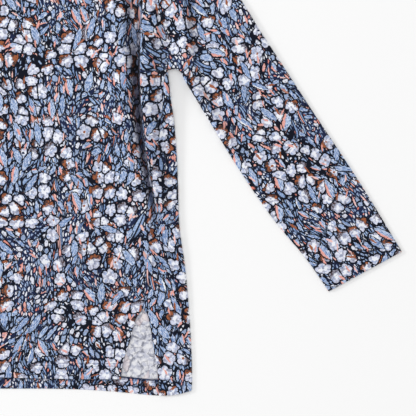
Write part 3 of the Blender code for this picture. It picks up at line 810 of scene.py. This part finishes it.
class Wire:
    """A socket of a material. Arithmetic on it adds Math nodes, or Vector Math nodes for a vector."""

    def __init__(self, dye, socket):
        self.dye = dye
        self.socket = socket

    def reckon(self, operation, *terms):
        vector = any(isinstance(t, Wire) and t.socket.type == "VECTOR" for t in terms)
        kind = "VectorMath" if vector else "Math"
        node = self.dye.tree.nodes.new("ShaderNode" + kind)
        node.operation = operation
        for socket, term in zip(node.inputs, terms):
            if vector and not isinstance(term, Wire) and not hasattr(term, "__len__"):
                term = (term,) * 3
            self.dye.feed(socket, term)
        return Wire(self.dye, node.outputs[0])

    def __add__(self, other):
        return self.reckon("ADD", self, other)

    __radd__ = __add__

    def __sub__(self, other):
        return self.reckon("SUBTRACT", self, other)

    def __rsub__(self, other):
        return self.reckon("SUBTRACT", other, self)

    def __mul__(self, other):
        return self.reckon("MULTIPLY", self, other)

    __rmul__ = __mul__

    def __truediv__(self, other):
        return self.reckon("DIVIDE", self, other)

    def __pow__(self, other):
        return self.reckon("POWER", self, other)

    def __abs__(self):
        return self.reckon("ABSOLUTE", self)

    def __gt__(self, other):
        return self.reckon("GREATER_THAN", self, other)

    def __lt__(self, other):
        return self.reckon("LESS_THAN", self, other)

    def sine(self):
        return self.reckon("SINE", self)

    def cosine(self):
        return self.reckon("COSINE", self)

    def fraction(self):
        return self.reckon("FRACT", self)

    def least(self, other):
        return self.reckon("MINIMUM", self, other)

    def most(self, other):
        return self.reckon("MAXIMUM", self, other)

    def angle_from(self, other):
        return self.reckon("ARCTAN2", self, other)

    def ease(self, low, high):
        """0 below low, 1 above high and a soft step between. With low over high it falls."""
        turned = low > high
        node = self.dye.node(
            "MapRange",
            {"interpolation_type": "SMOOTHSTEP"},
            {"Value": self, "From Min": min(low, high), "From Max": max(low, high)},
        )
        made = Wire(self.dye, node.outputs["Result"])
        return 1 - made if turned else made


class Dye:
    """A material and the nodes that colour it."""

    def __init__(self, name):
        self.made = bpy.data.materials.new(name)
        self.made.use_nodes = True
        self.tree = self.made.node_tree
        self.shader = self.tree.nodes["Principled BSDF"]

    def feed(self, socket, value):
        if isinstance(value, Wire):
            self.tree.links.new(value.socket, socket)
        else:
            socket.default_value = value

    def node(self, kind, settings=None, sockets=None):
        made = self.tree.nodes.new("ShaderNode" + kind)
        for key, value in (settings or {}).items():
            setattr(made, key, value)
        for key, value in (sockets or {}).items():
            self.feed(made.inputs[key], value)
        return made

    def split(self, vector):
        made = self.node("SeparateXYZ", None, {"Vector": vector})
        return [Wire(self, socket) for socket in made.outputs]

    def vector(self, x, y, z=0.0):
        return Wire(self, self.node("CombineXYZ", None, {"X": x, "Y": y, "Z": z}).outputs["Vector"])

    def uv(self, layer):
        return Wire(self, self.node("UVMap", {"uv_map": layer}).outputs["UV"])

    def coordinates(self, layer):
        """A UV map, in millimetres."""
        return self.uv(layer) * (1 / MM)

    def mix(self, share, under, over, way="MIX"):
        made = self.node("Mix", {"data_type": "RGBA", "blend_type": way})
        for socket in made.inputs:
            if socket.identifier == "Factor_Float":
                self.feed(socket, share)
            elif socket.identifier == "A_Color":
                self.feed(socket, under)
            elif socket.identifier == "B_Color":
                self.feed(socket, over)
        return Wire(self, next(s for s in made.outputs if s.identifier == "Result_Color"))

    def clouds(self, place, size, detail=1.0):
        """Soft noise about 0 to 1, whose patches are about this size."""
        made = self.node(
            "TexNoise",
            {"noise_dimensions": "2D"},
            {"Vector": place * (1 / size), "Scale": 1.0, "Detail": detail, "Roughness": 0.5},
        )
        return made.outputs["Fac"], made.outputs["Color"]

    def cloud(self, place, size, detail=1.0):
        return Wire(self, self.clouds(place, size, detail)[0])

    def drift(self, place, size, reach):
        """The place moved about by up to half this reach, in patches of this size."""
        spread = Wire(self, self.clouds(place, size)[1])
        shifted = self.node("VectorMath", {"operation": "SUBTRACT"})
        self.feed(shifted.inputs[0], spread)
        self.feed(shifted.inputs[1], (0.5, 0.5, 0.5))
        return place + Wire(self, shifted.outputs[0]) * (reach * 2)


# ---------------------------------------------------------------- Print

NAVY = srgb(6, 11, 27)
INK = srgb(26, 36, 68)
SLATE = srgb(94, 119, 165)
BLUE = srgb(132, 158, 200)
ICE = srgb(182, 201, 228)
LILAC = srgb(194, 199, 221)
PALE = srgb(214, 217, 232)
WHITE = srgb(237, 239, 244)
GREY = srgb(142, 142, 158)
UMBER = srgb(74, 56, 54)
RUST = srgb(150, 88, 58)
CORAL = srgb(214, 124, 108)
PINK = srgb(234, 190, 184)

LENGTHWISE = math.pi / 2  # angle of a motif that points along the garment
GAP = 1.8  # dark rim left round a motif
BLADE_GAP = 1.4
BLOSSOM_GAP = 2.8
SOFT = 0.6  # softness of a printed edge
FLECK = 2.4  # size of the finest brush marks
ZONE = 74.0  # size of the patches that are mostly blossom, mostly leaf or mostly dashes
LEAN_PATCH = 42.0  # size of the patches in which motifs lean alike
LEAN_SPREAD = 3.0
NET_BEND = (90.0, 9.0)  # size of the patches over which the print bends, and how far it does
NET_FRAY = (4.0, 1.5)  # and the same for its ragged outlines
BLADE_SWEEP = (120.0, 55.0)  # and for the rows of blades
SEED_STEP = (7.31, 3.17)  # how far the net of cells moves from one seed to the next
BLOSSOM_ZONES = (0.0, 0.0)  # offset of the patches of blossoms
LEAF_ZONES = (300.0, 100.0)  # and of the patches of leaves
STROKE_ZONES = (500.0, 0.0)  # and of those with no strokes
DASHES_THIN_TO = 0.64  # how strong a zone of blossoms counts at most, so that no ground is left bare

# The motifs lie in the cells of loose nets, one in each. For each kind: a cell's width and height, the net's
# seed and how far motifs stray in it, a motif's half length, its least and greatest half width, how far it
# turns by chance, the chance from which it is coral, how far it stays off its cell's border, where its zones
# lie, the weight of a cell's own chance against its zone's, and the sum of the two from which it is printed,
# or up to which a dash or a stroke is.
MOTIFS = named_rows(
    ("kind", "cell", "seed", "stray", "length", "widths", "turn", "coral", "apart", "zones", "luck", "takes"),
    ("dash", (4.3, 8.8), 1, 0.9, 4.6, (1.05, 1.65), 0.6, 0.84, 0.7, BLOSSOM_ZONES, 1 / 2.2, 2.1 / 2.2),
    ("pebble", (11.0, 11.5), 2, 0.9, 5.6, (2.4, 4.0), None, 0.90, 1.1, None, None, 0.42),
    ("blade", (5.4, 19.0), 8, 0.9, 9.0, (0.9, 1.7), 0.25, 0.86, 0.7, LEAF_ZONES, 0.3, 0.66),
    ("leaf", (13.5, 20.0), 3, 0.9, 12.5, (2.59, 4.07), 0.7, 0.76, 1.4, LEAF_ZONES, 0.6, 0.76),
    ("blossom", (25.0, 23.5), 4, 0.8, 11.1, None, 3.2, None, 1.2, BLOSSOM_ZONES, 0.35, 0.60),
    ("broad leaf", (29.0, 40.0), 5, 0.9, 18.0, (4.06, 6.38), 0.7, 0.76, 1.4, LEAF_ZONES, 0.5, 0.83),
    ("stroke", (17.0, 22.0), 6, 0.9, 8.0, (1.3, 2.3), 0.8, None, None, STROKE_ZONES, 0.6, 0.76),
)


class Motifs:
    """The motifs of one kind: where a point lies in its own cell, and the cell's three chances."""

    def __init__(self, dye, place, kind):
        row = next(row for row in MOTIFS if row["kind"] == kind)
        width, height = row["cell"]
        shift = (row["seed"] * SEED_STEP[0], row["seed"] * SEED_STEP[1], 0.0)
        scaled = place * (1 / width, 1 / height, 1.0) + shift
        sockets = {"Vector": scaled, "Scale": 1.0, "Randomness": row["stray"]}
        cell = dye.node("TexVoronoi", {"voronoi_dimensions": "2D", "feature": "F1"}, sockets)
        border = dye.node("TexVoronoi", {"voronoi_dimensions": "2D", "feature": "DISTANCE_TO_EDGE"}, sockets)
        middle = Wire(dye, cell.outputs["Position"])
        chance = dye.node("SeparateColor", None, {"Color": Wire(dye, cell.outputs["Color"])})
        self.dye = dye
        self.row = row
        self.x, self.y, _ = dye.split((scaled - middle) * (width, height, 1.0))
        self.chances = [Wire(dye, socket) for socket in chance.outputs]
        self.border = Wire(dye, border.outputs["Distance"]) * min(width, height)
        self.middle = (middle - shift) * (width, height, 1.0)

    def reach(self):
        """Distance of this point from the cell's middle."""
        return (self.x**2 + self.y**2) ** 0.5

    def turned(self, angle):
        """(along, across) of this point from the cell's middle, on axes turned by an angle."""
        c, s = angle.cosine(), angle.sine()
        return self.x * c + self.y * s, self.y * c - self.x * s

    def leaning(self):
        """Angle of a motif, which follows its neighbours' to either side of lengthwise."""
        return (self.dye.cloud(self.middle, LEAN_PATCH, 0.0) - 0.5) * LEAN_SPREAD + LENGTHWISE

    def turn(self, chance):
        """How far a motif is turned out of that angle, or out of lengthwise."""
        return (chance - 0.5) * self.row["turn"]

    def coral(self, chance):
        """1 in the cells whose motif is coral."""
        return chance > self.row["coral"]

    def width(self, chance):
        """A motif's half width, between its least at chance 0 and its greatest at 1."""
        least, most = self.row["widths"]
        return chance * (most - least) + least

    def oval(self, angle, chance):
        """Depth within an oval that stays off the cell's border."""
        lengthwise, across = self.turned(angle)
        width = self.width(chance)
        inside = (1 - ((lengthwise / self.row["length"]) ** 2 + (across / width) ** 2) ** 0.5) * width
        return inside.least(self.border - self.row["apart"])

    def zone(self):
        """How strongly the kind's zone is felt at this cell, about 0 to 1."""
        return self.dye.cloud(self.middle + (*self.row["zones"], 0.0), ZONE, 0.0)

    def prevails(self):
        """1 in the cells whose motif is printed, where its zone is strong."""
        return self.chances[1] * self.row["luck"] + self.zone() > self.row["takes"]


def stamp(dye, ground, inside, present, colour, gap=GAP):
    """Prints a motif over the ground, with a dark rim round it. inside is the depth within its outline."""
    rim = inside.ease(-gap - SOFT / 2, -gap + SOFT / 2) * present
    body = inside.ease(-SOFT / 2, SOFT / 2) * present
    return dye.mix(body, dye.mix(rim, ground, NAVY), colour)


def loose_net(dye, place):
    """Where the motifs are set out: the place on the cloth, a little bent and frayed."""
    return dye.drift(dye.drift(place, *NET_BEND), *NET_FRAY)


def printed_colour(dye, place):
    """The print: dashes, pebbles, blades, leaves, blossoms and strokes on navy, laid over each other."""
    net = loose_net(dye, place)
    flecks = dye.cloud(place, FLECK)
    colour = dye.mix(dye.cloud(place, ZONE, 0.0).ease(0.54, 0.42), NAVY, INK)
    colour = dashes(dye, colour, Motifs(dye, net, "dash"), flecks)
    colour = pebbles(dye, colour, Motifs(dye, net, "pebble"), place, flecks)
    colour = blades(dye, colour, Motifs(dye, dye.drift(place, *BLADE_SWEEP), "blade"), flecks)
    colour = leaves(dye, colour, Motifs(dye, net, "leaf"))
    colour = blossoms(dye, colour, Motifs(dye, net, "blossom"), place)
    colour = leaves(dye, colour, Motifs(dye, net, "broad leaf"))
    return strokes(dye, colour, Motifs(dye, net, "stroke"), flecks)


def dashes(dye, ground, cells, flecks):
    """Short dashes with no rim, blue to white and some coral, fewer where blossoms prevail."""
    r, g, b = cells.chances
    tone = dye.mix(r.ease(0.50, 0.54), dye.mix(flecks, SLATE, ICE), dye.mix(flecks, PALE, WHITE))
    tone = dye.mix(cells.coral(r), tone, dye.mix(b, CORAL, PINK))
    outline = cells.oval(cells.leaning() + cells.turn(b), g)
    shown = g * cells.row["luck"] + cells.zone().least(DASHES_THIN_TO) < cells.row["takes"]
    return dye.mix(outline.ease(-SOFT / 2, SOFT / 2) * shown, ground, tone)


def pebbles(dye, ground, cells, place, flecks):
    """Rounded pebbles, mottled white, blue or coral."""
    r, g, b = cells.chances
    tone = dye.mix(dye.cloud(place, 3.4), LILAC, WHITE)
    tone = dye.mix(b > 0.5, tone, dye.mix(dye.cloud(place, 4.0), SLATE, ICE))
    tone = dye.mix(cells.coral(b), tone, dye.mix(flecks, CORAL, PINK))
    tone = dye.mix(dye.cloud(place, 3.0, 2.0).ease(0.56, 0.62) * 0.8, tone, GREY)
    return stamp(dye, ground, cells.oval(cells.leaning(), g), r < cells.row["takes"], tone)


def blades(dye, ground, cells, flecks):
    """Long narrow blades side by side, in blues and some coral."""
    r, g, b = cells.chances
    tone = dye.mix(flecks.ease(0.40, 0.60), dye.mix(r, SLATE, BLUE), dye.mix(r, BLUE, ICE))
    tone = dye.mix(cells.coral(r), tone, dye.mix(b, CORAL, PINK))
    outline = cells.oval(cells.turn(g) + LENGTHWISE, b)
    return stamp(dye, ground, outline, cells.prevails(), tone, BLADE_GAP)


LEAF_STREAKS = (0.16, 0.95)  # how close a leaf's streaks lie, lengthwise and across
LEAF_FRAY = 2.4
LEAF_FLANK = (0.4286, 0.6429)  # where its flank begins, as a share of its least half width
WHITE_FLANKS = 0.08  # chance up to which it is white


def leaves(dye, ground, cells):
    """Pointed leaves in fans, brushed in two blues, some with a coral or a white flank."""
    r, g, b = cells.chances
    lengthwise, across = cells.turned(cells.leaning() + cells.turn(r))
    brush = dye.vector(lengthwise * LEAF_STREAKS[0] + r * 90, across * LEAF_STREAKS[1] + b * 40)
    streaks = dye.cloud(brush, 0.9, 1.0)
    pointed = (1 - (lengthwise / cells.row["length"]) ** 2) * cells.width(b) - abs(across)
    outline = pointed.least(cells.border - cells.row["apart"]) + (streaks - 0.5) * LEAF_FRAY
    tone = dye.mix(streaks.ease(0.42, 0.50), SLATE, dye.mix(b, BLUE, ICE))
    tone = dye.mix(streaks.ease(0.60, 0.66), tone, PALE)
    flank = (across / cells.row["widths"][0]).ease(*LEAF_FLANK)
    tone = dye.mix(flank * cells.coral(b), tone, dye.mix(streaks, CORAL, PINK))
    tone = dye.mix(flank * (b < WHITE_FLANKS), tone, WHITE)
    return stamp(dye, ground, outline, cells.prevails(), tone)


PETALS = 0.44  # how far a blossom's petals stand out of its middle part, as a share of its size
MIDDLE_PARTS = (0.36, 0.70)  # and its least and greatest middle part
FIVE_PETALS = 0.45  # chance from which it has five petals, and up to which it has three
RUST_SHADOWS = 0.48  # chance up to which its shadow is rust or umber
GREY_SHADOWS = 0.62  # and from there up to which it is grey
DOTTED = 0.9  # chance from which it has a dot in its middle


def blossoms(dye, ground, cells, place):
    """Pale petalled blossoms, brushed grey, blue and white, some with rust or umber petals behind."""
    r, g, b = cells.chances
    size = cells.row["length"]
    reach = cells.reach() / size
    angle = cells.y.angle_from(cells.x)
    half_count = (g > FIVE_PETALS) + 1.5
    wave = (angle * half_count + r * 6.3).sine()
    least, most = MIDDLE_PARTS
    depth = (abs(wave) ** 0.5 * PETALS + least + g * (most - least) - reach) * size
    outline = depth.reckon("SMOOTH_MIN", depth, cells.border - cells.row["apart"], 2.0)
    brushed = dye.cloud(dye.vector(angle * 1.3 + r * 30, reach * 2.0 + b * 9), 0.5, 2.0)
    patch = dye.cloud(place, 5.5, 1.0)
    cool = dye.cloud(place + (70.0, 40.0, 0.0), 8.0)
    tone = dye.mix(brushed.ease(0.48, 0.58), LILAC, PALE)
    tone = dye.mix(cool.ease(0.56, 0.62) * 0.6, tone, BLUE)
    tone = dye.mix(patch.ease(0.54, 0.64) * 0.7, tone, GREY)
    middle = (reach + (patch - 0.5) * 2.2 + r * 0.3).ease(0.50, 0.40)
    tone = dye.mix(middle * 0.9, tone, WHITE)
    parting = abs(wave).ease(0.22, 0.08) * reach.ease(0.36, 0.62)
    tone = dye.mix(parting * 0.5, tone, INK)
    towards, _ = cells.turned(cells.turn(r) + LENGTHWISE)
    shadow = (towards / size * 0.9 + reach * 0.3 + (brushed - 0.5) * 0.9).ease(0.36, 0.44)
    tone = dye.mix(shadow * (b < RUST_SHADOWS), tone, dye.mix(patch.ease(0.4, 0.6), RUST, UMBER))
    grey_shadow = dye.mix(brushed.ease(0.45, 0.55), UMBER, GREY)
    tone = dye.mix(shadow * (b > RUST_SHADOWS) * (b < GREY_SHADOWS), tone, grey_shadow)
    dot = (reach + (patch - 0.5) * 0.3).ease(0.19, 0.14) * (r > DOTTED)
    tone = dye.mix(dot, tone, dye.mix(g > 0.5, INK, RUST))
    return stamp(dye, ground, outline, cells.prevails(), tone, BLOSSOM_GAP)


def strokes(dye, ground, cells, flecks):
    """Loose strokes of coral, pink and rust over all the rest."""
    r, g, b = cells.chances
    lengthwise, across = cells.turned(cells.leaning() + cells.turn(r))
    outline = (1 - (lengthwise / cells.row["length"]) ** 2) * cells.width(r) - abs(across)
    tone = dye.mix(b.ease(0.42, 0.5), dye.mix(flecks, CORAL, PINK), dye.mix(b.ease(0.7, 0.76), RUST, PINK))
    shown = g * cells.row["luck"] + cells.zone() < cells.row["takes"]
    return dye.mix(outline.ease(0.0, SOFT) * shown, ground, tone)


# ---------------------------------------------------------------- Finish of the cloth, with its painted shade

KNIT = 1.1  # width of a stitch of the knit
COURSE = 1.4  # and its height
KNIT_SLANT = 5.0
KNIT_RELIEF = 0.08
TWIN_ROWS = 2.4  # from the middle of the twin rows of stitching to each of them
STITCH = 3.1  # length of a stitch of theirs
STITCH_END = (0.78, 0.7)  # where the thread dips into the cloth, as a share of a stitch
THREAD_EDGE = (0.55, 0.3)  # how far from its middle the thread ends
THREAD_RELIEF = 0.25
GROOVE_EDGE = (5.0, 1.0)  # and the groove that the rows pull into the cloth
GROOVE_RELIEF = 0.5
OVERLOCK_WIDTH = 3.0
OVERLOCK_LOOP = 1.8
TAKEN_UP = 26.0  # width of cloth hidden in the deep fold
CREASE_SHADE_COLOUR = (0.12, 0.12, 0.16, 1.0)  # painted shade: what is left of the light deep in a crease
# Painted shade of a deep fold's trough, at distances out from its lip, negative in its trough
TROUGH_STARTS = (-17.0, -7.0)  # where the trough's shade sets in
TROUGH_ENDS = (0.9, -0.3)  # and where it ends, under the lip
PAST_LIP = (14.0, -0.3)  # and where the cloth past it comes back into the light
PAST_LIP_SHADE = 0.5  # share of a crease's painted shade that is left there


def knit_height(dye, place):
    """Fine lengthwise wales with slanting stitches."""
    x, y, _ = dye.split(place)
    wale = (x * (2 * math.pi / KNIT)).cosine()
    slant = abs((x * (1 / KNIT)).fraction() - 0.5) * KNIT_SLANT
    return wale * 0.5 + (y * (2 * math.pi / COURSE) + slant).sine() * 0.5


def stitch_rows(dye):
    """(thread, groove) of the twin rows of stitching near a turned edge."""
    run, off, _ = dye.split(dye.coordinates("Stitching"))
    from_middle = abs(off - HEM_STITCH)
    stitches = (run * (1 / STITCH)).fraction().ease(*STITCH_END)
    return abs(from_middle - TWIN_ROWS).ease(*THREAD_EDGE) * stitches, from_middle.ease(*GROOVE_EDGE)


def overlock(dye, inside):
    """The dark overlocked thread along the raw edge of the cloth that is turned up."""
    run, off, _ = dye.split(dye.coordinates("Stitching"))
    loops = abs((run * (1 / OVERLOCK_LOOP) + off * 0.3).fraction() - 0.5) * 2.0
    start = HEM_TURN - OVERLOCK_WIDTH
    return (off + loops).ease(start, start + SOFT) * inside * 0.85


def lip_of_fold(dye):
    """(distance out from the lip of a deep fold, how deep the fold is there)."""
    out, deep, _ = dye.split(dye.uv("Lip"))
    return out * (1 / MM), deep


def shade_of_creases(crease, out, deep):
    """Painted shade, from 0 to 1, deep in a crease or in a deep fold's trough, and less on the fold's lip."""
    trough = out.ease(*TROUGH_STARTS) * out.ease(*TROUGH_ENDS) * deep.least(1.0)
    return crease.most(trough) * out.ease(*PAST_LIP).most(PAST_LIP_SHADE)


def shade_and_finish_cloth(dye, colour, place):
    """Gives a side of the cloth painted shade in its creases, stitching, overlock, knit and a soft matt
    surface.
    """
    # the Crease map holds the painted shade and whether the cloth is turned up
    crease, inside, _ = dye.split(dye.uv("Crease"))
    shade = shade_of_creases(crease, *lip_of_fold(dye))
    colour = dye.mix(overlock(dye, inside), colour, INK)
    # painted shade: the colour is darkened in creases, in deep folds' troughs and, on the back, under the
    # front's hem
    dye.feed(dye.shader.inputs["Base Color"], dye.mix(shade, colour, CREASE_SHADE_COLOUR, "MULTIPLY"))
    thread, groove = stitch_rows(dye)
    height = knit_height(dye, place) * KNIT_RELIEF + thread * THREAD_RELIEF - groove * GROOVE_RELIEF
    bump = dye.node("Bump", None, {"Strength": 0.6, "Distance": MM, "Height": height})
    dye.feed(dye.shader.inputs["Normal"], Wire(dye, bump.outputs["Normal"]))
    dye.shader.inputs["Roughness"].default_value = 0.85
    dye.shader.inputs["Sheen Weight"].default_value = 0.06
    dye.shader.inputs["Sheen Roughness"].default_value = 0.5
    dye.shader.inputs["Specular IOR Level"].default_value = 0.15
    return dye.made


def right_side(name):
    """The printed side of the cloth."""
    dye = Dye(name)
    out, deep = lip_of_fold(dye)
    place = dye.coordinates("Print") + dye.vector((out > 0) * deep * TAKEN_UP, 0.0)
    colour = printed_colour(dye, place)
    thread, _ = stitch_rows(dye)
    return shade_and_finish_cloth(dye, dye.mix(thread * 0.7, colour, INK), place)


WRONG_SIDE_TONES = (srgb(188, 190, 204), srgb(226, 226, 230))
GROUND_THROUGH = srgb(122, 124, 138)  # the print's ground and its coral, seen through the cloth
CORAL_THROUGH = srgb(232, 205, 200)


def wrong_side(name):
    """The pale inside of the cloth, where the print's dark ground shows through as thin lines."""
    dye = Dye(name)
    place = dye.coordinates("Print")
    net = loose_net(dye, place)
    big, small = Motifs(dye, net, "blossom"), Motifs(dye, net, "pebble")
    ragged = dye.cloud(place, 3.0, 2.0) * 2.6
    through = (big.border - ragged).ease(0.9, -0.6) * 0.9
    through = through.most((small.border - ragged).ease(0.3, -0.8) * 0.6)
    through = through * dye.cloud(place, 9.0, 2.0).ease(0.36, 0.58)
    colour = dye.mix(dye.cloud(place, 8.0, 2.0).ease(0.35, 0.65), *WRONG_SIDE_TONES)
    colour = dye.mix(through, colour, GROUND_THROUGH)
    colour = dye.mix(small.coral(small.chances[2]) * 0.3, colour, CORAL_THROUGH)
    return shade_and_finish_cloth(dye, colour, place)


# ---------------------------------------------------------------- Camera, floor and light

VIEW_WIDTH = 686.4  # plan width that the camera takes in
VIEW_MIDDLE = (343.8, 301.0)  # from the centre line, and height
LENS = 120.0
SENSOR = 36.0
FLOOR_SIZE = 12.0  # metres
SKY = 0.815  # strength of the white surroundings
# Each lamp's name, place and size in metres, and power in watts
LAMPS = (("Low key", (-7.3, 1.7, 2.6), 1.2, 280.0), ("High key", (-1.5, 1.5, 5.0), 2.5, 46.0))
LAMPS_AIM = (0.3, 0.0, 0.0)


def camera():
    data = bpy.data.cameras.new("Camera")
    data.lens = LENS
    data.sensor_width = SENSOR
    made = bpy.data.objects.new("Camera", data)
    bpy.context.scene.collection.objects.link(made)
    distance = VIEW_WIDTH * LENS / SENSOR
    made.location = (VIEW_MIDDLE[0] * MM, (VIEW_MIDDLE[1] - Y_CENTRE) * MM, distance * MM)
    bpy.context.scene.camera = made


def floor():
    bpy.ops.mesh.primitive_plane_add(size=FLOOR_SIZE, location=(0, 0, 0))
    made = bpy.context.object
    made.name = "floor"
    dye = Dye("white_floor")
    dye.shader.inputs["Base Color"].default_value = (0.9, 0.9, 0.9, 1)
    dye.shader.inputs["Roughness"].default_value = 0.9
    dye.shader.inputs["Specular IOR Level"].default_value = 0.1
    made.data.materials.append(dye.made)
    made.select_set(False)


def softbox(name, place, size, power):
    data = bpy.data.lights.new(name, "AREA")
    data.shape = "SQUARE"
    data.size = size
    data.energy = power
    made = bpy.data.objects.new(name, data)
    bpy.context.scene.collection.objects.link(made)
    made.location = place
    away = made.location - type(made.location)(LAMPS_AIM)
    made.rotation_euler = away.to_track_quat("Z", "Y").to_euler()


def studio():
    world = bpy.data.worlds.new("Studio")
    bpy.context.scene.world = world
    world.use_nodes = True
    background = world.node_tree.nodes["Background"]
    background.inputs["Color"].default_value = (1.0, 1.0, 1.0, 1)
    background.inputs["Strength"].default_value = SKY
    for lamp in LAMPS:
        softbox(*lamp)
    bpy.context.scene.view_settings.view_transform = "Standard"


def main():
    camera()
    studio()
    floor()
    cloths = (right_side("printed_jersey"), wrong_side("jersey_wrong_side"))
    # Each piece's node, sheets, whether its faces are turned over, where in the print it is cut, and its slot
    panels = (
        ("front_cloth", "front", front_panel(), True, (0.0, 0.0), "body_cloth"),
        ("back_cloth", "back", back_panel(), False, (1310.0, 420.0), "body_cloth"),
        ("sleeve_left_cloth", "sleeve_left", sleeve_tube(1), False, (2450.0, 520.0), "sleeve_cloth"),
        ("sleeve_right_cloth", "sleeve_right", sleeve_tube(-1), True, (3660.0, 710.0), "sleeve_cloth"),
    )
    for name, node, sheets, flip, shift, slot in panels:
        piece = cloth_piece(name, sheets, flip, shift, cloths)
        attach(piece, "root")
        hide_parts(node)


main()
